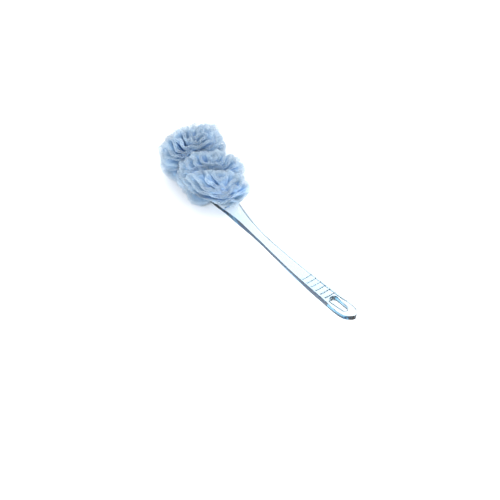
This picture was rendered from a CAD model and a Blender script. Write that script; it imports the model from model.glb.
"""A long clear blue handle whose paddle carries five netting rosettes, tied on with twisted cord.

The handle lies along X: paddle tip at -X, slotted grip end at +X, widths along Y, the floor
just below z = 0. The paddle slopes up towards its tip. "Front" rosettes stand on its upper
face, "back" ones hang under it and rest on the floor. Sizes are in mm until a mesh is made.
"""
import bmesh
import bpy
import math
import numpy as np
from mathutils import Vector, Matrix
from mathutils.geometry import delaunay_2d_cdt


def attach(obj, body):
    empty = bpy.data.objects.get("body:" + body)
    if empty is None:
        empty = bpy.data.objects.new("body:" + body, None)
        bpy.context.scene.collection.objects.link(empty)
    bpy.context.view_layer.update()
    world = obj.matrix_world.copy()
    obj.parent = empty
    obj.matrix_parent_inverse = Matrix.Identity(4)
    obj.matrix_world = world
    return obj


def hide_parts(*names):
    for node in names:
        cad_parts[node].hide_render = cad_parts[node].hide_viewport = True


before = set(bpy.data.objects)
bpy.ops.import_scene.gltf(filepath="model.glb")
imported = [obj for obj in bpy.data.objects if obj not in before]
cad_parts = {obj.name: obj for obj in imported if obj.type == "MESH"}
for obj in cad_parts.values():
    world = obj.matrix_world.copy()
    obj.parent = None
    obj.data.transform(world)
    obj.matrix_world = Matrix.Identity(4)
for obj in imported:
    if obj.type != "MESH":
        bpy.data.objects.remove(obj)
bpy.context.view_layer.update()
MM = 0.001
TURN = 2 * math.pi

# ------------------------------------------------------------ handle sizes
END_X, PAD_TIP, PAD_X = 204.0, -188.0, -81.5    # grip end, paddle tip, where the paddle's slope starts
REST_A, REST_B = 24.0, 44.0                     # the straight waist between the two bends
END_CAP, TIP_CAP = 14, 19                       # lengths over which the ends round off
PAD_THICK, NECK_THICK, WAIST_THICK, GRIP_THICK, END_THICK = 6.5, 10.0, 7.0, 10.0, 7.8
# each row: used up to x, thickness before, thickness after, change starts, change ends
THICKNESS = [
    (-48, PAD_THICK, NECK_THICK, -72, -50),
    (40, NECK_THICK, WAIST_THICK, -46, -10),
    (150, WAIST_THICK, GRIP_THICK, 54, 126),
    (math.inf, GRIP_THICK, END_THICK, 150, 180),
]
MID = WAIST_THICK / 2                           # mid-height of the waist
PAD_RISE = 9                                    # rise of the mid-height from the waist to PAD_X
NECK_BEND = 2 * PAD_RISE / (REST_A - PAD_X) ** 2
END_BEND = 2 * 11.6 / (198.5 - REST_B) ** 2     # 11.6 of rise at x = 198.5
SLOPE = NECK_BEND * (REST_A - PAD_X)
TILT = math.atan(SLOPE)
# plan outline stations: x, half width
PLAN = np.array([
    [-230, 19], [-150, 19], [-110, 18.8], [-90, 16.4], [-60, 10.6], [-35, 8], [0, 6.7],
    [35, 7.7], [80, 9.3], [121, 10.4], [150, 11.3], [175, 13], [230, 13]], float)
SLOT_X, SLOT_RUN = 156.5, 25.5                  # centre of the slot's wide end, run to its narrow end
SLOT_WIDE_R, SLOT_NARROW_R = 5.4, 4.0
EDGE_ROUND, SLOT_ROUND, HOLE_ROUND = 0.8, 1.3, 0.5
ROUND_STEPS = 7
RIBS = [97.2 + 10.0 * i for i in range(6)]      # x of the raised cross ribs
RIB_Y, RIB_HALF, RIB_RISE = 8.5, 1.9, 1.4
TIES = {"tip": -169.5, "middle": -119.0, "neck": -77.5}
HOLE_Y, HOLE_R = 6, 1.75
HOLES = [(tie_x, y) for tie_x in TIES.values() for y in (-HOLE_Y, HOLE_Y)]

# axes of a tie's frame: along the sloped paddle, across it, and square to its upper face
ALONG = np.array([math.cos(TILT), 0, -math.sin(TILT)])
ACROSS = np.array([0, 1.0, 0])
OUT = np.array([math.sin(TILT), 0, math.cos(TILT)])


# ----------------------------------------------------------------- helpers
def new_mesh(name, verts, quads, tris=(), attributes=None):
    """A smooth mesh object from arrays; verts in mm."""
    mesh = bpy.data.meshes.new(name)
    points = np.ascontiguousarray(np.asarray(verts, dtype=np.float64) * MM)
    quads = np.asarray(quads, np.int64).reshape(-1, 4)
    tris = np.asarray(tris, np.int64).reshape(-1, 3)
    mesh.vertices.add(len(points))
    mesh.vertices.foreach_set("co", points.ravel())
    corners = np.concatenate([quads.ravel(), tris.ravel()]).astype(np.int32)
    mesh.loops.add(len(corners))
    mesh.loops.foreach_set("vertex_index", corners)
    starts = np.concatenate([np.arange(len(quads)) * 4, len(quads) * 4 + np.arange(len(tris)) * 3])
    mesh.polygons.add(len(quads) + len(tris))
    mesh.polygons.foreach_set("loop_start", starts.astype(np.int32))
    mesh.update(calc_edges=True)
    mesh.validate()
    for key, values in (attributes or {}).items():
        add_attribute(mesh, key, values)
    mesh.shade_smooth()
    ob = bpy.data.objects.new(name, mesh)
    bpy.context.scene.collection.objects.link(ob)
    return ob


def add_attribute(mesh, key, values):
    attribute = mesh.attributes.new(key, "FLOAT", "POINT")
    attribute.data.foreach_set("value", np.asarray(values, np.float32))


def join(parts):
    """One (verts, quads) pair from a list of them."""
    verts, quads, count = [], [], 0
    for part_verts, part_quads in parts:
        verts.append(part_verts)
        quads.append(part_quads + count)
        count += len(part_verts)
    return np.vstack(verts), np.vstack(quads)


def unit(a):
    return a / np.maximum(np.linalg.norm(a, axis=-1, keepdims=True), 1e-9)


def smooth_step(a, b, x):
    t = np.clip((x - a) / (b - a), 0, 1)
    return t * t * (3 - 2 * t)


def closed(loop):
    return np.vstack([loop, loop[:1]])


def arc_length(path):
    return np.r_[0, np.cumsum(np.linalg.norm(np.diff(path, axis=0), axis=1))]


def points_at(stops, arc, path):
    """Points of a path at the given arc lengths."""
    return np.stack([np.interp(stops, arc, column) for column in path.T], 1)


def around(values):
    """Sum of each entry's two neighbours on a closed loop."""
    return np.roll(values, 1, 0) + np.roll(values, -1, 0)


# ------------------------------------------------------ handle's design curves
def mid_height(x):
    x = np.asarray(x, float)
    paddle = MID + PAD_RISE + SLOPE * (PAD_X - x)
    neck = np.where(x > PAD_X, MID + NECK_BEND / 2 * (x - REST_A) ** 2, paddle)
    waist = np.where(x > REST_A, MID, neck)
    return np.where(x > REST_B, MID + END_BEND / 2 * (x - REST_B) ** 2, waist)


def half_thickness(x):
    x = np.asarray(x, float)
    return 0.5 * np.select(
        [x < until for until, *_ in THICKNESS],
        [before + (after - before) * smooth_step(start, end, x)
         for _, before, after, start, end in THICKNESS])


def slot_distance(x, y):
    """Signed distance to the slot's outline, negative inside the opening."""
    t = np.clip((np.asarray(x) - SLOT_X) / SLOT_RUN, 0, 1)
    radius = SLOT_WIDE_R + (SLOT_NARROW_R - SLOT_WIDE_R) * t
    return np.hypot(np.asarray(x) - SLOT_X - t * SLOT_RUN, y) - radius


def plan_half_width(x):
    """Cubic curve through the plan stations."""
    i = np.clip(np.searchsorted(PLAN[:, 0], x) - 1, 1, len(PLAN) - 3)
    a, b = PLAN[i], PLAN[i + 1]
    run = b[..., 0] - a[..., 0]
    t = (x - a[..., 0]) / run

    def rise(k):
        after, before = PLAN[k + 1], PLAN[k - 1]
        return (after[..., 1] - before[..., 1]) / (after[..., 0] - before[..., 0]) * run

    return ((2 * t ** 3 - 3 * t ** 2 + 1) * a[..., 1] + (t ** 3 - 2 * t ** 2 + t) * rise(i)
            + (-2 * t ** 3 + 3 * t ** 2) * b[..., 1] + (t ** 3 - t ** 2) * rise(i + 1))


def half_width(x):
    """The plan curve with both ends rounded off."""
    x = np.asarray(x, float)
    end = np.clip((x - END_X + END_CAP) / END_CAP, 0, 1)
    tip = np.clip((PAD_TIP + TIP_CAP - x) / TIP_CAP, 0, 1)
    end_round = np.sqrt(np.clip(1 - end ** 2, 0, 1))
    tip_round = np.sqrt(np.clip(1 - tip ** 2, 0, 1))
    return plan_half_width(x) * end_round * tip_round


def tie_origin(name):
    x = TIES[name]
    return np.array([x, 0, float(mid_height(x))])


def from_tie(origin, local):
    """World points from points in a tie's frame."""
    return origin + local[..., 0:1] * ALONG + local[..., 1:2] * ACROSS + local[..., 2:3] * OUT


# ------------------------------------------------------------------ handle
def resample(loop, step):
    loop = closed(loop)
    arc = arc_length(loop)
    count = int(round(arc[-1] / step))
    return points_at(np.linspace(0, arc[-1], count, endpoint=False), arc, loop)


def outer_outline():
    x = np.concatenate([
        PAD_TIP + TIP_CAP * (1 - np.cos(np.linspace(0, np.pi / 2, 20))),
        np.arange(PAD_TIP + 20.2, END_X - 14.6, 1.3),
        END_X - END_CAP + END_CAP * np.sin(np.linspace(0, np.pi / 2, 22))])
    plus_y = np.c_[x, half_width(x)]
    minus_y = np.c_[x[::-1], -half_width(x[::-1])][1:-1]
    return resample(np.vstack([plus_y, minus_y]), 1.0)


def slot_outline():
    tangent = math.acos((SLOT_WIDE_R - SLOT_NARROW_R) / SLOT_RUN)
    a = np.linspace(tangent, 2 * np.pi - tangent, 30)
    b = np.linspace(-tangent, tangent, 24)
    wide = np.c_[SLOT_X + SLOT_WIDE_R * np.cos(a), SLOT_WIDE_R * np.sin(a)]
    narrow = np.c_[SLOT_X + SLOT_RUN + SLOT_NARROW_R * np.cos(b), SLOT_NARROW_R * np.sin(b)]
    return resample(np.vstack([wide, narrow]), 0.8)


def hole_outline(x, y):
    a = np.linspace(0, 2 * np.pi, 24, endpoint=False)
    return np.c_[x + HOLE_R * np.cos(a), y + HOLE_R * np.sin(a)]


def loop_normals(loop, into_area):
    """Smoothed plan normals, pointing into the enclosed area or out of it."""
    d = np.roll(loop, -1, 0) - np.roll(loop, 1, 0)
    normals = unit(np.c_[-d[:, 1], d[:, 0]])
    x, y = loop[:, 0], loop[:, 1]
    area = 0.5 * np.sum(x * np.roll(y, -1) - np.roll(x, -1) * y)
    if (area > 0) != into_area:
        normals = -normals
    for _ in range(3):
        normals = unit(normals + 0.5 * around(normals))
    return normals


def edge_profile(radius):
    """(inset, drop, face) from the upper face, down the wall, to the lower face."""
    curve = []
    for k in range(ROUND_STEPS):
        angle = math.pi / 2 * (1 - k / (ROUND_STEPS - 1))
        curve.append((radius * (1 - math.cos(angle)), radius * (1 - math.sin(angle))))
    return ([(inset, drop, 1) for inset, drop in curve] + [(0.0, 0.0, 0)]
            + [(inset, drop, -1) for inset, drop in reversed(curve)])


def handle_walls():
    """Rounded walls of the outline and openings, and each wall's rim: plan, upper, lower ids."""
    loops = [(outer_outline(), EDGE_ROUND, True), (slot_outline(), SLOT_ROUND, False)]
    loops += [(hole_outline(x, y), HOLE_ROUND, False) for x, y in HOLES]
    verts, quads, rims, count = [], [], [], 0
    for loop, radius, is_outer in loops:
        inward = loop_normals(loop, is_outer)
        plans, rings = [], []
        for inset, drop, face in edge_profile(radius):
            plan = loop + inward * inset
            z = mid_height(plan[:, 0]) + face * (half_thickness(plan[:, 0]) - drop)
            verts.append(np.c_[plan, z])
            plans.append(plan)
            rings.append(count + np.arange(len(loop)))
            count += len(loop)
        for a, b in zip(rings, rings[1:]):
            quads.append(np.c_[a, np.roll(a, -1), np.roll(b, -1), b])
        rims.append((plans[0], rings[0], rings[-1]))
    return np.vstack(verts), np.vstack(quads), rims


def face_points(rims):
    """Plan points inside the faces, finer over the ribs and clear of every rim."""
    columns = list(np.arange(PAD_TIP + 4, END_X - 3, 1.6))
    for rib in RIBS:
        columns = [x for x in columns if abs(x - rib) > 2.2]
        columns += list(rib + np.linspace(-2.1, 2.1, 15))
    columns.sort()
    points = []
    for x in columns:
        reach = float(half_width(x)) - EDGE_ROUND - 0.7
        if reach <= 0:
            continue
        on_rib = min(abs(x - rib) for rib in RIBS) < 2.3
        count = max(2, int(round(2 * reach / (0.6 if on_rib else 1.5))))
        points += [(x, y) for y in np.linspace(-reach, reach, count)]
    points = np.array(points)
    keep = slot_distance(points[:, 0], points[:, 1]) > SLOT_ROUND + 0.5
    for rim, _, _ in rims:
        keep &= np.sqrt(((points[:, None, :] - rim[None]) ** 2).sum(-1)).min(1) > 0.55
    for x, y in HOLES:
        keep &= np.hypot(points[:, 0] - x, points[:, 1] - y) > HOLE_R + HOLE_ROUND + 0.4
    return points[keep]


def rib_height(x, y):
    height = 0
    for rib in RIBS:
        offset = np.abs(x - rib) / RIB_HALF
        end = np.clip((np.minimum(RIB_Y, half_width(x) - 1.4) - np.abs(y)) / 1.3, 0, 1)
        height = height + (RIB_RISE * np.clip(1 - offset ** 2, 0, 1) ** 1.2
                           * np.sqrt(np.clip(1 - (1 - end) ** 2, 0, 1)))
    return height


def in_material(x, y):
    return not (abs(y) > float(half_width(x)) - 0.02 or x < PAD_TIP or x > END_X
                or float(slot_distance(x, y)) < 0.9
                or any(math.hypot(x - hole_x, y - hole_y) < 1.9 for hole_x, hole_y in HOLES))


def build_handle():
    wall_verts, quads, rims = handle_walls()
    plan, edges, rim_upper, rim_lower = [], [], [], []
    for rim, upper, lower in rims:
        start, count = len(plan), len(rim)
        plan += [Vector((float(x), float(y))) for x, y in rim]
        edges += [(start + i, start + (i + 1) % count) for i in range(count)]
        rim_upper += list(upper)
        rim_lower += list(lower)
    rim_count = len(plan)
    plan += [Vector((float(x), float(y))) for x, y in face_points(rims)]
    points, _, faces, sources, _, _ = delaunay_2d_cdt(plan, edges, [], 0, 1e-6)
    points = np.array([(p.x, p.y) for p in points])

    # rim points reuse the wall's vertices; the others get one on each face
    upper_id, lower_id, inner = {}, {}, []
    for i, source in enumerate(sources):
        first = source[0] if source else -1
        if 0 <= first < rim_count:
            upper_id[i], lower_id[i] = rim_upper[first], rim_lower[first]
        else:
            inner.append(i)
    inside = points[np.array(inner)]
    x, y = inside[:, 0], inside[:, 1]
    upper = np.c_[inside, mid_height(x) + half_thickness(x) + rib_height(x, y)]
    lower = np.c_[inside, mid_height(x) - half_thickness(x)]
    for j, i in enumerate(inner):
        upper_id[i] = len(wall_verts) + j
        lower_id[i] = len(wall_verts) + len(inner) + j

    tris = []
    for face in faces:
        face = list(face)
        centre = points[face].mean(0)
        if not in_material(float(centre[0]), float(centre[1])):
            continue
        a, b, c = points[face[0]], points[face[1]], points[face[2]]
        if np.cross(b - a, c - a) < 0:
            face = face[::-1]
        tris.append([upper_id[face[0]], upper_id[face[1]], upper_id[face[2]]])
        tris.append([lower_id[face[2]], lower_id[face[1]], lower_id[face[0]]])
    ob = new_mesh("handle_moulding", np.vstack([wall_verts, upper, lower]), quads, tris)

    bm = bmesh.new()
    bm.from_mesh(ob.data)
    bmesh.ops.remove_doubles(bm, verts=bm.verts, dist=1e-7)
    bmesh.ops.recalc_face_normals(bm, faces=bm.faces)
    bm.to_mesh(ob.data)
    bm.free()
    ob.data.shade_smooth()
    co = np.zeros(len(ob.data.vertices) * 3)
    ob.data.vertices.foreach_get("co", co)
    co = co.reshape(-1, 3) / MM
    # 1 on the slot's wall and its rounded rim, 0 elsewhere
    slot_wall = 1 - smooth_step(1.6, 2.4, slot_distance(co[:, 0], co[:, 1]))
    add_attribute(ob.data, "slot_wall", slot_wall)
    return ob


# -------------------------------------------------------- netting rosettes
SPACING = 2.0                    # point spacing of a grown ridge line
RIDGE_GAP = 6.0                  # distance ridge lines keep from each other
GROW_STEPS = 220
MESH_STEP = 2.0                  # pitch of the netting's grid
NET_DEPTH = 17.0                 # how far netting runs down each flank of a fold
FOLD_HALF = 1.75                 # half width of a fold
STRAND_R = 0.27
STRAND_ANGLES = (0, 2.0944, 4.18879)    # thirds of a turn round a strand
GATHER_START = 9.5               # depth at which the closed-up inner part starts
GATHER_STEPS = np.array([0.0, 0.12, 0.3, 0.52, 0.76, 1.0])


def phase(rng):
    return rng.uniform(0, 6.28)


def seed_rings(half_u, half_v, rings, rng):
    """Starting ridge lines: points, links, ring numbers, and lengths before and after growth."""
    points, before, after, ring, rest_start, rest_end = [], [], [], [], [], []
    base = 0
    for k, (t, growth) in enumerate(rings):
        length = 2 * math.pi * math.sqrt((half_u * half_u + half_v * half_v) / 2) * t
        n = max(10, int(round(length * growth / SPACING)))
        theta = np.linspace(0, 2 * math.pi, n, endpoint=False) + phase(rng)
        r = np.full(n, t)
        for f in range(2, 14):
            size = t * 0.05 / math.sqrt(f) * math.sin(phase(rng) + f)
            r = r + size * np.cos(f * theta + phase(rng)) * min(1, 0.35 / t + 0.3)
        r = r * (1 + rng.normal(0, 0.004, n))
        points.append(np.c_[half_u * r * np.cos(theta), half_v * r * np.sin(theta)])
        i = np.arange(n)
        before.append(base + (i - 1) % n)
        after.append(base + (i + 1) % n)
        ring.append(np.full(n, k))
        # how much each stretch lengthens varies slowly round the ring
        stretch = 1
        for f, size in ((2, 0.35), (3, 0.25), (5, 0.2)):
            stretch = stretch + size * np.cos(f * theta + phase(rng))
        stretch = np.clip(stretch, 0.35, 2)
        start = length / n
        rest_start.append(np.full(n, start))
        rest_end.append(start + (SPACING - start) * stretch / stretch.mean())
        base += n
    return [np.concatenate(a) for a in (points, before, after, ring, rest_start, rest_end)]


def close_pairs(points, ring):
    """Pairs near enough to push apart, leaving out close neighbours on one ring."""
    d2 = ((points[:, None, 0] - points[None, :, 0]) ** 2
          + (points[:, None, 1] - points[None, :, 1]) ** 2)
    a, b = np.nonzero(np.triu(d2 < (1.35 * RIDGE_GAP + 1.5) ** 2, 1))
    gap = np.abs(a - b)
    gap = np.minimum(gap, np.bincount(ring)[ring[a]] - gap)
    apart = ~((ring[a] == ring[b]) & (gap * SPACING < RIDGE_GAP * 1.35))
    return a[apart], b[apart]


def grow_rings(half_u, half_v, rings, seed):
    """Closed ridge lines that lengthen and buckle inside an ellipse, pushing each other apart.

    Returns a list of (n, 2) arrays in mm.
    """
    rng = np.random.default_rng(seed)
    X, before, after, ring, rest_start, rest_end = seed_rings(half_u, half_v, rings, rng)
    count = len(X)
    for step in range(GROW_STEPS):
        if step % 8 == 0:
            a, b = close_pairs(X, ring)
        grown = min(1.0, step / (0.75 * GROW_STEPS))
        rest = rest_start + (rest_end - rest_start) * grown
        force = np.zeros_like(X)
        # springs along the line
        edge = X[after] - X
        length = np.linalg.norm(edge, axis=1) + 1e-9
        pull = (0.45 * (length - rest) / length)[:, None] * edge
        force += pull
        force -= pull[before]
        # stiffness against bending
        bend = X[after] + X[before] - 2 * X
        force -= 0.16 * (bend[after] + bend[before] - 2 * bend)
        # near pairs push apart
        between = X[b] - X[a]
        length = np.linalg.norm(between, axis=1) + 1e-9
        push = np.clip(RIDGE_GAP - length, 0, None) * 0.35 / length
        for c in (0, 1):
            v = push * between[:, c]
            force[:, c] += np.bincount(b, v, count) - np.bincount(a, v, count)
        # stay inside the ellipse and off its centre
        t = np.sqrt((X[:, 0] / half_u) ** 2 + (X[:, 1] / half_v) ** 2)
        over = np.clip(t - 1, 0, None)
        force -= X * (over / np.maximum(t, 1e-6))[:, None] * 0.8
        under = np.clip(0.075 - t, 0, None)
        force += unit(X) * (under * min(half_u, half_v) * 0.6)[:, None]
        if step < GROW_STEPS * 0.8:
            force += rng.normal(0, 0.03, X.shape)
        size = np.linalg.norm(force, axis=1)
        force *= np.minimum(1, 0.7 / np.maximum(size, 1e-9))[:, None]
        X = X + force
    lines = []
    for k in range(len(rings)):
        line = X[ring == k]
        for _ in range(2):
            line = 0.5 * line + 0.25 * around(line)
        lines.append(line)
    return lines


class Lobe:
    """The soft envelope of one rosette, in the frame of its tie.

    side      1 on the paddle's upper face, -1 on its lower face
    size      half sizes along, across and out of the paddle
    centre    envelope centre, the last value measured away from the paddle
    spread    how far the envelope wraps round from its outermost point, degrees
    powers    superellipse powers in plan and in section
    lumps     relative size of the uneven swellings
    taper     narrowing towards the frame's +x
    yaw       turn in plan, degrees
    edge_lift   lift off the paddle per mm beyond y = 17 either way
    minus_y_lift  extra, pleated lift of the -y side
    """

    def __init__(self, tie, side, size, centre, spread, powers, lumps, seed,
                 taper=0.0, yaw=0.0, edge_lift=0.0, minus_y_lift=0.0):
        self.origin, self.side, self.size, self.centre = tie_origin(tie), side, size, centre
        self.powers, self.taper = powers, taper
        self.edge_lift, self.minus_y_lift = edge_lift, minus_y_lift
        self.root = np.array([0, 0, 9.0 * side])        # the point the folds run towards
        self.cos_yaw, self.sin_yaw = math.cos(math.radians(yaw)), math.sin(math.radians(yaw))
        rng = np.random.default_rng(seed)
        self.lumps = [(rng.normal(size=3), phase(rng), lumps / 3) for _ in range(6)]
        # map that spaces points evenly by arc length from the outermost point
        spokes = np.linspace(0, 2 * math.pi, 97)
        t = np.linspace(0, math.radians(spread), 121)
        P = self.surface(spokes[:, None] + 0 * t, t[None] + 0 * spokes[:, None])
        lengths = np.cumsum(np.linalg.norm(np.diff(P, axis=1), axis=2), axis=1)
        arc = np.concatenate([np.zeros((97, 1)), lengths], 1)
        self.half_u, self.half_v = arc[0, -1], arc[24, -1]
        even = np.linspace(0, 1, 121)
        self.table = np.array([np.interp(even, row / row[-1], t) for row in arc])

    def surface(self, spoke, polar):
        (a, b, c), (n, m) = self.size, self.powers
        cos_s, sin_s = np.cos(spoke), np.sin(spoke)
        h = (np.abs(cos_s / a) ** n + np.abs(sin_s / b) ** n) ** (-1 / n)
        sin_p, cos_p = np.sin(polar), np.cos(polar)
        q = (np.abs(h * sin_p * cos_s / a) ** n
             + (np.abs(h * sin_p * sin_s / b) ** m + np.abs(cos_p) ** m) ** (n / m)) ** (-1 / n)
        u = h * sin_p * q * cos_s
        v = h * sin_p * q * sin_s * (1 - self.taper * u / a)
        dx, dy, dz = self.centre
        return np.stack([dx + u * self.cos_yaw + v * self.sin_yaw,
                         dy - u * self.sin_yaw + v * self.cos_yaw,
                         self.side * (dz + c * cos_p * q)], -1)

    def at(self, uv):
        """Envelope points for map points uv."""
        x, y = uv[:, 0] / self.half_u, uv[:, 1] / self.half_v
        t = np.clip(np.hypot(x, y), 0, 1)
        spoke = np.mod(np.arctan2(y, x), 2 * math.pi)
        row = spoke / (2 * math.pi) * 96
        i = np.clip(row.astype(int), 0, 95)
        fi = row - i
        column = t * 120
        j = np.clip(column.astype(int), 0, 119)
        fj = column - j
        T = self.table
        polar = (T[i, j] * (1 - fi) * (1 - fj) + T[i + 1, j] * fi * (1 - fj)
                 + T[i, j + 1] * (1 - fi) * fj + T[i + 1, j + 1] * fi * fj)
        P = self.surface(spoke, polar)
        offset = P - self.root
        r = np.linalg.norm(offset, axis=1)
        ray = offset / r[:, None]
        swell = np.zeros(len(P))
        for direction, shift, size in self.lumps:
            swell += size * np.sin(ray @ direction * 4.2 + shift)
        return self.root + ray * (r * (1 + swell))[:, None]

    def world(self, local):
        return from_tie(self.origin, local)

    def clear(self, local):
        """Keeps local points off the paddle and off the other side's netting."""
        x, y = local[..., 0], local[..., 1]
        floor = 1.2 + (4.4 - 1.2) * (1 - smooth_step(20.5, 27.0, np.abs(y)))
        floor = floor + self.edge_lift * np.clip(np.abs(y) - 17, 0, 30)
        # the lifted side is pleated towards the tie
        spoke = np.arctan2(y, x)
        pleats = (1 + 0.2 * np.sin(17 * spoke + 1.5 * np.sin(5 * spoke))
                  + 0.09 * np.sin(31 * spoke + 2))
        floor = floor + self.minus_y_lift * smooth_step(5.0, 21.0, -y) * pleats
        z = local[..., 2] * self.side
        soft = np.where(z < floor + 2, floor + 2 * np.exp((z - floor - 2) / 2), z)
        # a domed hollow round the tie cord
        half_x, half_y, height = (5.2, 9.6, 15.0) if self.side > 0 else (5.6, 10.2, 21.0)
        dome = np.sqrt(np.clip(1 - (x / half_x) ** 2 - (y / half_y) ** 4, 0, 1))
        local = local.copy()
        local[..., 2] = np.maximum(soft, height * dome) * self.side
        return local


class Fold:
    """One fold of netting whose crest follows a ridge line round the lobe.

    Depth is measured from the crest towards the lobe's root.
    """

    def __init__(self, lobe, line, index, rng):
        line = closed(line)
        arc = arc_length(lobe.at(line))
        # an even number of evenly spaced columns
        n = max(12, int(round(arc[-1] / MESH_STEP / 2)) * 2)
        P = lobe.at(points_at(np.linspace(0, arc[-1], n, endpoint=False), arc, line))
        self.lobe = lobe
        self.theta = np.linspace(0, 2 * math.pi, n, endpoint=False)
        offset = P - lobe.root
        self.radius = np.linalg.norm(offset, axis=1)
        self.ray = offset / self.radius[:, None]
        # the crests don't all reach the same height
        self.crest = (self.radius + 0.8 + self.slow_waves(rng, (3, 5, 8, 13), 1.6)
                      + (-1.5 if index % 2 else 0.4))
        tangent = unit(np.roll(P, -1, 0) - np.roll(P, 1, 0))
        sideways = unit(np.cross(tangent, self.ray))
        for _ in range(4):
            sideways = unit(sideways + 0.5 * around(sideways))
        self.sideways = sideways
        self.lean = self.slow_waves(rng, (2, 4, 7, 11), 1.7)
        self.half = FOLD_HALF * (1 + 0.25 * self.slow_waves(rng, (4, 9, 15), 1.0))

    def slow_waves(self, rng, counts, size):
        return sum(size / len(counts) ** 0.5 * np.sin(f * self.theta + phase(rng)) for f in counts)

    def narrowing(self, depth, least):
        return np.clip(1 - depth / self.radius[:, None] * 0.9, least, 1)

    def curl(self, depth):
        return self.lean[:, None] * np.clip(1 - depth / 15, 0, 1) ** 2

    def place(self, depth, across):
        return (self.lobe.root + self.ray[:, None, :] * (self.crest[:, None] - depth)[..., None]
                + self.sideways[:, None, :] * across[..., None])

    def net_grid(self, rng):
        """World points of the netting's grid over the crest and down both flanks, and depths."""
        rows = int(NET_DEPTH / MESH_STEP)
        run = (np.arange(-rows, rows + 1) * MESH_STEP)[None, :] + 0 * self.theta[:, None]
        W = self.half[:, None]
        quarter = W * math.pi / 2
        on_crest = np.abs(run) <= quarter
        angle = np.clip(run / W, -1.6, 1.6)
        across = np.where(on_crest, W * np.sin(angle), np.sign(run) * W)
        depth = -np.where(on_crest, W * (np.cos(angle) - 1), -W - (np.abs(run) - quarter))
        narrow = self.narrowing(depth, 0.12)
        shift = self.slow_waves(rng, (3, 6, 10), 2.5)[:, None]
        wobble = 0.55 * np.sin(depth * 0.42 + shift) * np.clip(depth / 8, 0, 1) * narrow
        X = self.place(depth, across * narrow + self.curl(depth) + wobble)
        X = X + rng.normal(0, 0.09, X.shape)
        X = self.lobe.world(self.lobe.clear(X))
        # ease the lowest points onto the floor
        low, ease = 0.75, 1.5
        z = X[..., 2]
        eased = low + ease * np.exp((z - low - ease) / ease) * 0.999
        X[..., 2] = np.where(z < low + ease, eased, z)
        return X, depth

    def gathers(self):
        """The closed-up inner part of each flank, running on to the tie."""
        last = self.radius * 0.86
        depth = GATHER_START + (last - GATHER_START)[:, None] * GATHER_STEPS[None]
        narrow = self.narrowing(depth, 0.1)
        ids = np.arange(depth.size).reshape(depth.shape)
        nx = np.roll(ids, -1, 0)
        quads = np.stack([ids[:, :-1], nx[:, :-1], nx[:, 1:], ids[:, 1:]], -1).reshape(-1, 4)
        shade = (0.5 + 0.5 * np.clip(depth / 30, 0, 1)).ravel()
        for flank in (1, -1):
            across = flank * self.half[:, None] * narrow * 0.92 + self.curl(depth)
            X = self.lobe.world(self.lobe.clear(self.place(depth, across)))
            X[..., 2] = np.maximum(X[..., 2], 1.2)
            yield (X.reshape(-1, 3), quads), shade


def strands(X, rng):
    """Three-sided tubes running diagonally both ways between every other grid point."""
    n, m = X.shape[:2]
    normals = unit(np.cross(np.roll(X, -1, 0) - np.roll(X, 1, 0), np.gradient(X, axis=1)))
    crossing = crossings(n, m)
    rank = -np.ones((n, m), np.int64)
    rank[crossing] = np.arange(crossing.sum())
    i, j = np.nonzero(crossing)
    P, normal = X[crossing], normals[crossing]
    i_next, i_last = (i + 1) % n, (i - 1) % n
    for way in (1, -1):
        j_next, j_last = j + way, j - way
        has_next = (j_next >= 0) & (j_next < m)
        has_last = (j_last >= 0) & (j_last < m)
        ahead = np.where(has_next[:, None], X[i_next, np.clip(j_next, 0, m - 1)], P)
        behind = np.where(has_last[:, None], X[i_last, np.clip(j_last, 0, m - 1)], P)
        d = unit(ahead - behind)
        side = unit(np.cross(d, normal))
        up = unit(np.cross(side, d))
        r = STRAND_R * (1 + rng.normal(0, 0.06, len(P)))[:, None]
        corners = [P + r * (math.cos(angle) * up * 0.9 + math.sin(angle) * side * 1.15)
                   for angle in STRAND_ANGLES]
        a = 3 * rank[i[has_next], j[has_next]]
        b = 3 * rank[i_next[has_next], j_next[has_next]]
        quads = []
        for k in range(3):
            k_next = (k + 1) % 3
            quads.append(np.c_[a + k, a + k_next, b + k_next, b + k])
        yield np.stack(corners, 1).reshape(-1, 3), np.vstack(quads)


def crossings(n, m):
    """Checkerboard of the grid points where strands meet."""
    return (np.arange(n)[:, None] + np.arange(m)[None, :]) % 2 == 0


def build_rosette(name, lobe, rings, seed):
    lines = grow_rings(lobe.half_u, lobe.half_v, rings, seed)
    rng = np.random.default_rng(seed + 100)
    net, net_depth, net_tone, gathers, gather_depth = [], [], [], [], []
    for index, line in enumerate(lines):
        fold = Fold(lobe, line, index, rng)
        X, depth = fold.net_grid(rng)
        tone = rng.uniform(0.35, 0.65)
        shade = np.repeat(np.clip(depth[crossings(*depth.shape)] / NET_DEPTH, 0, 1), 3)
        for part in strands(X, rng):
            net.append(part)
            net_depth.append(shade)
            net_tone.append(np.full(len(shade), tone))
        for part, inner_shade in fold.gathers():
            gathers.append(part)
            gather_depth.append(inner_shade)
    attributes = {"depth": np.concatenate(net_depth), "tone": np.concatenate(net_tone)}
    return (new_mesh(name, *join(net), attributes=attributes),
            new_mesh(name + "_gathers", *join(gathers),
                     attributes={"depth": np.concatenate(gather_depth)}))


# --------------------------------------------------------------- tie cords
CORD_CORNER = 2.2                # corner radius of the main loop
KNOT_R = 1.35
CORD_TOP = PAD_THICK / 2 + 8.2
CORD_BOTTOM = {"tip": -12.25, "middle": -12.25, "neck": -6.65}


def path_frame(path, is_closed):
    """Two unit vectors square to the path at each point."""
    d = np.roll(path, -1, 0) - np.roll(path, 1, 0)
    if not is_closed:
        d[0] = path[1] - path[0]
        d[-1] = path[-1] - path[-2]
    tangent = unit(d)
    side = unit(np.cross(tangent, np.array([1.0, 0.05, 0.02])))
    return side, np.cross(side, tangent)


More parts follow.
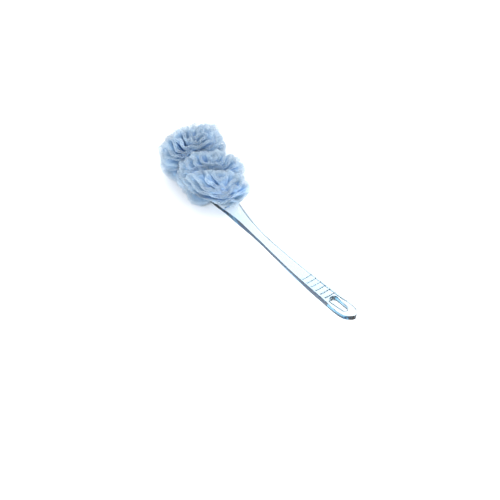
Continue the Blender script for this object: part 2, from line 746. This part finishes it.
def tube(path, radius, sides, is_closed):
    side, up = path_frame(path, is_closed)
    angle = np.linspace(0, 2 * math.pi, sides, endpoint=False)
    verts = path[:, None] + radius * (np.cos(angle)[None, :, None] * side[:, None]
                                      + np.sin(angle)[None, :, None] * up[:, None])
    ids = np.arange(len(path) * sides).reshape(len(path), sides)
    a = ids if is_closed else ids[:-1]
    b = np.roll(ids, -1, 0) if is_closed else ids[1:]
    quads = np.stack([a, np.roll(a, -1, 1), np.roll(b, -1, 1), b], -1).reshape(-1, 4)
    return verts.reshape(-1, 3), quads


def twisted(path, is_closed, offset, radius, pitch):
    """Three strands laid round a path."""
    arc = arc_length(closed(path) if is_closed else path)
    turns = max(1, round(arc[-1] / pitch))
    side, up = path_frame(path, is_closed)
    parts = []
    for i in range(3):
        angle = 2 * math.pi * (turns * arc[:len(path)] / arc[-1] + i / 3)
        strand = path + offset * (np.cos(angle)[:, None] * side + np.sin(angle)[:, None] * up)
        parts.append(tube(strand, radius, 8, is_closed))
    return join(parts)


def cord_loop(top, bottom):
    """Rounded rectangle through the two tie holes."""
    y, upper, lower = HOLE_Y - CORD_CORNER, top - CORD_CORNER, bottom + CORD_CORNER
    points = []
    for cy, cz, start in ((y, upper, 0), (-y, upper, 90), (-y, lower, 180), (y, lower, 270)):
        for a in np.radians(np.linspace(start, start + 90, 7)):
            points.append((0, cy + CORD_CORNER * math.cos(a), cz + CORD_CORNER * math.sin(a)))
    loop = closed(np.array(points))
    arc = arc_length(loop)
    return points_at(np.linspace(0, arc[-1], 150, endpoint=False), arc, loop)


def build_cord(name, tie, top, bottom):
    """A loop through the paddle, with a knot of two rings and two frayed tails below it."""
    parts = [twisted(cord_loop(top, bottom), True, offset=0.46, radius=0.52, pitch=5.0)]
    theta = np.linspace(0, 2 * math.pi, 40, endpoint=False)
    t = np.linspace(0, 1, 16)
    fray = t[:8]
    for way in (-1, 1):
        ring = np.c_[KNOT_R * np.cos(theta), way * 0.95 + 0.35 * np.sin(theta),
                     bottom + KNOT_R * np.sin(theta)]
        parts.append(twisted(ring, True, offset=0.44, radius=0.5, pitch=4))
        tail = np.c_[0.9 * way * t, way * (0.9 + 4.3 * t), bottom - 1.0 - 3.0 * t + 0.8 * t * t]
        parts.append(twisted(tail, False, offset=0.42, radius=0.46, pitch=4))
        for k in range(3):
            a = 2.1 * k
            end = np.c_[0.9 * way + 0.42 * math.cos(a) + 0.5 * math.cos(a) * fray,
                        way * 5.2 + way * 1.0 * fray,
                        bottom - 3.2 + 0.42 * math.sin(a) - 0.6 * fray]
            parts.append(tube(end, 0.3, 6, False))
    verts, quads = join(parts)
    return new_mesh(name, from_tie(tie_origin(tie), verts), quads)


# --------------------------------------------------------------- materials
class Nodes:
    """Fills a material's or world's emptied node tree.

    An input may be a plain value, a socket, or a node, which stands for its first output.
    """

    def __init__(self, owner):
        owner.use_nodes = True
        self.tree = owner.node_tree
        self.tree.nodes.clear()

    def add(self, kind, inputs=None, **settings):
        node = self.tree.nodes.new("ShaderNode" + kind)
        for key, value in settings.items():
            setattr(node, key, value)
        for key, value in (inputs or {}).items():
            if isinstance(value, bpy.types.Node):
                value = value.outputs[0]
            if isinstance(value, bpy.types.NodeSocket):
                self.tree.links.new(value, node.inputs[key])
            else:
                node.inputs[key].default_value = value
        return node

    def noise(self, vector, scale, detail):
        noise = self.add("TexNoise", {"Vector": vector, "Scale": scale, "Detail": detail})
        return noise.outputs["Fac"]

    def remap(self, value, to, source=(0.0, 1.0)):
        return self.add("MapRange", {"Value": value, "From Min": source[0], "From Max": source[1],
                                     "To Min": to[0], "To Max": to[1]})

    def ramp(self, factor, stops):
        """stops: (position, colour) in rising order."""
        node = self.add("ValToRGB", {"Fac": factor})
        elements = node.color_ramp.elements
        for i in (0, -1):
            elements[i].position, elements[i].color = stops[i]
        for position, color in stops[1:-1]:
            elements.new(position).color = color
        return node

    def bump(self, height, strength, distance):
        return self.add("Bump", {"Height": height, "Strength": strength, "Distance": distance})

    def mix(self, factor, first, second):
        return self.add("MixShader", {0: factor, 1: first, 2: second})


def new_material(name):
    material = bpy.data.materials.new(name)
    return material, Nodes(material)


def srgb(*channels):
    """Linear colour from 0-255 sRGB channels."""
    def linear(c):
        return (c / 255) / 12.92 if c / 255 <= 0.04045 else ((c / 255 + 0.055) / 1.055) ** 2.4
    return (*map(linear, channels), 1)


def netting_material(name, crest, middle, deep, translucent):
    """Glossy translucent plastic, coloured by depth within the fold."""
    material, nodes = new_material(name)
    place = nodes.add("TexCoord").outputs["Object"]
    broad = nodes.noise(place, scale=60, detail=3)
    fine = nodes.noise(place, scale=1400, detail=2)
    depth = nodes.add("Attribute", attribute_name="depth").outputs["Fac"]
    color = nodes.add("HueSaturation", {
        "Value": nodes.remap(broad, to=(0.88, 1.12), source=(0.3, 0.7)),
        "Hue": nodes.remap(fine, to=(0.485, 0.515), source=(0.3, 0.7)),
        "Color": nodes.ramp(depth, [(0.0, crest), (0.5, middle), (1.0, deep)])})
    surface = nodes.add("BsdfPrincipled", {
        "Base Color": color,
        "Roughness": nodes.remap(fine, to=(0.3, 0.6)),
        "IOR": 1.5,
        "Specular IOR Level": 0.5,
        "Sheen Weight": 0.25,
        "Sheen Roughness": 0.4,
        "Normal": nodes.bump(fine, strength=0.35, distance=0.0001)})
    through = nodes.add("BsdfTranslucent", {"Color": color})
    nodes.add("OutputMaterial", {"Surface": nodes.mix(translucent, surface, through)})
    return material


def acrylic_material():
    """Clear blue plastic, deeper in colour along its edges than on its flat faces."""
    material, nodes = new_material("clear_blue_acrylic")
    coords = nodes.add("TexCoord")
    place = coords.outputs["Object"]
    # flatness: 1 on faces that look straight up or down, and on the slot's wall
    normal = nodes.add("SeparateXYZ", {0: coords.outputs["Normal"]})
    upright = nodes.add("Math", {0: normal.outputs["Z"]}, operation="ABSOLUTE")
    slot_wall = nodes.add("Attribute", attribute_name="slot_wall").outputs["Fac"]
    flatness = nodes.add("Math", {0: upright, 1: slot_wall}, operation="ADD", use_clamp=True)
    tint = nodes.ramp(flatness, [(0.45, (0.035, 0.22, 0.44, 1)), (0.96, (0.79, 0.795, 0.82, 1))])
    # faint streaks along the handle in the gloss
    stretched = nodes.add("Mapping", {"Scale": (1, 6, 6), "Vector": place})
    streaks = nodes.noise(stretched, scale=220, detail=6)
    waves = nodes.noise(place, scale=45, detail=1)
    surface = nodes.add("BsdfPrincipled", {
        "Base Color": tint,
        "Transmission Weight": 1.0,
        "IOR": 1.49,
        "Roughness": nodes.remap(streaks, to=(0.01, 0.07), source=(0.45, 0.8)),
        "Normal": nodes.bump(waves, strength=0.12, distance=0.0006)})
    # shadow and diffuse rays pass straight through, so the floor below stays bright
    ray = nodes.add("LightPath").outputs
    passing = nodes.add("Math", {0: ray["Is Shadow Ray"], 1: ray["Is Diffuse Ray"]},
                        operation="MAXIMUM")
    plain = nodes.add("BsdfTransparent", {"Color": (0.93, 0.965, 0.985, 1)})
    body = nodes.add("VolumeAbsorption", {"Color": (0.80, 0.93, 0.975, 1), "Density": 42})
    nodes.add("OutputMaterial", {"Surface": nodes.mix(passing, surface, plain), "Volume": body})
    return material


def cord_material():
    material, nodes = new_material("twisted_cord")
    fibres = nodes.noise(nodes.add("TexCoord").outputs["Object"], scale=900, detail=4)
    surface = nodes.add("BsdfPrincipled", {
        "Base Color": nodes.ramp(fibres, [(0.0, srgb(120, 155, 195)), (1.0, srgb(185, 208, 232))]),
        "Roughness": nodes.remap(fibres, to=(0.55, 0.9)),
        "Sheen Weight": 0.4,
        "Normal": nodes.bump(fibres, strength=0.5, distance=0.0001)})
    nodes.add("OutputMaterial", {"Surface": surface})
    return material


def floor_material():
    material, nodes = new_material("floor_white")
    surface = nodes.add("BsdfPrincipled", {
        "Base Color": (0.975, 0.975, 0.975, 1), "Roughness": 0.6, "Specular IOR Level": 0.0})
    nodes.add("OutputMaterial", {"Surface": surface})
    return material


STRANDS = netting_material(
    "netting_strands", crest=srgb(236, 246, 253), middle=srgb(220, 238, 250),
    deep=srgb(204, 229, 248), translucent=0.6)
GATHERED = netting_material(
    "netting_gathered", crest=srgb(222, 239, 250), middle=srgb(213, 233, 247),
    deep=srgb(202, 226, 244), translucent=0.5)
ACRYLIC = acrylic_material()
CORD = cord_material()

# ---------------------------------------------------------------- assembly
handle = build_handle()
handle.data.materials.append(ACRYLIC)
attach(handle, "handle_body")
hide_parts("handle")

# ridge lines of a rosette: starting radius as a share of the envelope, growth in length
FULL_RINGS = [(0.07, 1.3), (0.18, 1.6), (0.30, 1.55), (0.42, 1.45),
              (0.54, 1.35), (0.66, 1.3), (0.79, 1.2), (0.93, 1.12)]
NECK_RINGS = [(0.09, 1.3), (0.24, 1.6), (0.40, 1.5), (0.56, 1.4), (0.74, 1.25), (0.92, 1.12)]
BACK_TIP_RINGS = [(0.12, 1.3), (0.30, 1.6), (0.50, 1.45), (0.70, 1.3), (0.90, 1.15)]
BACK_MIDDLE_RINGS = [(0.14, 1.3), (0.34, 1.6), (0.55, 1.45), (0.75, 1.3), (0.92, 1.15)]
# face and tie: envelope, ridge lines, seed of the growth
ROSETTES = {
    "front_tip": (
        dict(size=(22.4, 46.0, 40.2), centre=(-0.2, 5.2, 17.2), spread=112, powers=(4.0, 2.3),
             lumps=0.035, seed=3, yaw=19), FULL_RINGS, 11),
    "front_middle": (
        dict(size=(13.7, 48.8, 47.8), centre=(-3.5, 0.5, 15.4), spread=112, powers=(4.0, 2.3),
             lumps=0.035, seed=4, yaw=30), FULL_RINGS, 12),
    "front_neck": (
        dict(size=(14.3, 43.0, 37.2), centre=(-11.2, -16.0, 32.4), spread=126, powers=(3.2, 2.3),
             lumps=0.035, seed=5, taper=0.2, yaw=40, edge_lift=0.8, minus_y_lift=11.0),
        NECK_RINGS, 13),
    "back_tip": (
        dict(size=(28.5, 37.8, 25), centre=(-1.5, 0, 0.5), spread=88, powers=(3.6, 2.2),
             lumps=0.03, seed=6), BACK_TIP_RINGS, 14),
    "back_middle": (
        dict(size=(19.6, 38, 25), centre=(0, 0, 0.5), spread=88, powers=(3.6, 2.2),
             lumps=0.03, seed=7), BACK_MIDDLE_RINGS, 15),
}
for body, (envelope, rings, seed) in ROSETTES.items():
    face, tie = body.split("_")
    lobe = Lobe(tie, 1 if face == "front" else -1, **envelope)
    net, gathers = build_rosette(body + "_netting_strands", lobe, rings, seed)
    net.data.materials.append(STRANDS)
    gathers.data.materials.append(GATHERED)
    for ob in (net, gathers):
        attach(ob, body)
        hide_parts(body + "_netting")

for tie, bottom in CORD_BOTTOM.items():
    cord = build_cord(tie + "_tie_cord_twisted", tie, CORD_TOP, bottom)
    cord.data.materials.append(CORD)
    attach(cord, "handle_body")
    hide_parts(tie + "_tie_cord")

# ------------------------------------------------- floor, light and camera
VIEW_TURN, VIEW_DOWN = math.radians(51.8), math.radians(46)
VIEW_RIGHT = Vector((math.cos(VIEW_TURN), math.sin(VIEW_TURN), 0))
VIEW_FORWARD = Vector((-math.sin(VIEW_TURN) * math.cos(VIEW_DOWN),
                       math.cos(VIEW_TURN) * math.cos(VIEW_DOWN), -math.sin(VIEW_DOWN)))
VIEW_UP = VIEW_RIGHT.cross(VIEW_FORWARD)
VIEW_DISTANCE = 16.0                            # metres
VIEW_WIDTH = 692.52078                          # width seen at the aim point, mm
AIM_RIGHT, AIM_UP = -18.28255, -11.42659        # aim point from the origin, mm
SENSOR = 36


def build_floor():
    bpy.ops.mesh.primitive_plane_add(size=8, location=(0, 0, -0.0003))
    floor = bpy.context.object
    floor.name = "floor"
    floor.data.materials.append(floor_material())


def build_key_light():
    """A broad sun from above, to the right and beyond the object as the camera sees it."""
    away = Vector((VIEW_FORWARD.x, VIEW_FORWARD.y, 0)).normalized()
    towards = VIEW_RIGHT * 0.75 + away * 0.35 + Vector((0, 0, 1.1))
    light = bpy.data.lights.new("key", "SUN")
    light.angle = math.radians(28)
    light.energy = 0.95
    ob = bpy.data.objects.new("key", light)
    ob.rotation_euler = towards.to_track_quat("Z", "Y").to_euler()
    bpy.context.scene.collection.objects.link(ob)


def build_world():
    """White to the camera, even soft light on surfaces, a dark blue room with a bright top
    for reflections and refractions."""
    world = bpy.data.worlds.new("studio")
    bpy.context.scene.world = world
    nodes = Nodes(world)
    direction = nodes.add("SeparateXYZ", {0: nodes.add("TexCoord").outputs["Generated"]})
    room_color = nodes.ramp(direction.outputs["Z"], [
        (0.0, (0.045, 0.14, 0.21, 1)), (0.8, (0.05, 0.15, 0.22, 1)), (0.93, (1, 1, 1, 1))])
    room = nodes.add("Background", {"Color": room_color, "Strength": 1.0})
    soft = nodes.add("Background", {"Color": (1, 1, 1, 1), "Strength": 1.7})
    backdrop = nodes.add("Background", {"Color": (1, 1, 1, 1), "Strength": 1.0})
    ray = nodes.add("LightPath").outputs
    lighting = nodes.mix(ray["Is Diffuse Ray"], room, soft)
    nodes.add("OutputWorld", {"Surface": nodes.mix(ray["Is Camera Ray"], lighting, backdrop)})


def set_render():
    scene = bpy.context.scene
    scene.view_settings.view_transform = "Standard"
    scene.view_settings.look = "None"
    scene.view_settings.exposure = 0.0
    scene.cycles.max_bounces = 20
    scene.cycles.diffuse_bounces = 10
    scene.cycles.transmission_bounces = 16


def build_camera():
    aim = VIEW_RIGHT * (AIM_RIGHT * MM) + VIEW_UP * (AIM_UP * MM)
    data = bpy.data.cameras.new("camera")
    camera = bpy.data.objects.new("camera", data)
    bpy.context.scene.collection.objects.link(camera)
    camera.location = aim - VIEW_FORWARD * VIEW_DISTANCE
    axes = Matrix((VIEW_RIGHT, VIEW_UP, -VIEW_FORWARD)).transposed()
    camera.rotation_euler = axes.to_euler()
    data.sensor_width = SENSOR
    data.lens = SENSOR * VIEW_DISTANCE / (VIEW_WIDTH * MM)
    bpy.context.scene.camera = camera


build_floor()
build_key_light()
build_world()
set_render()
build_camera()
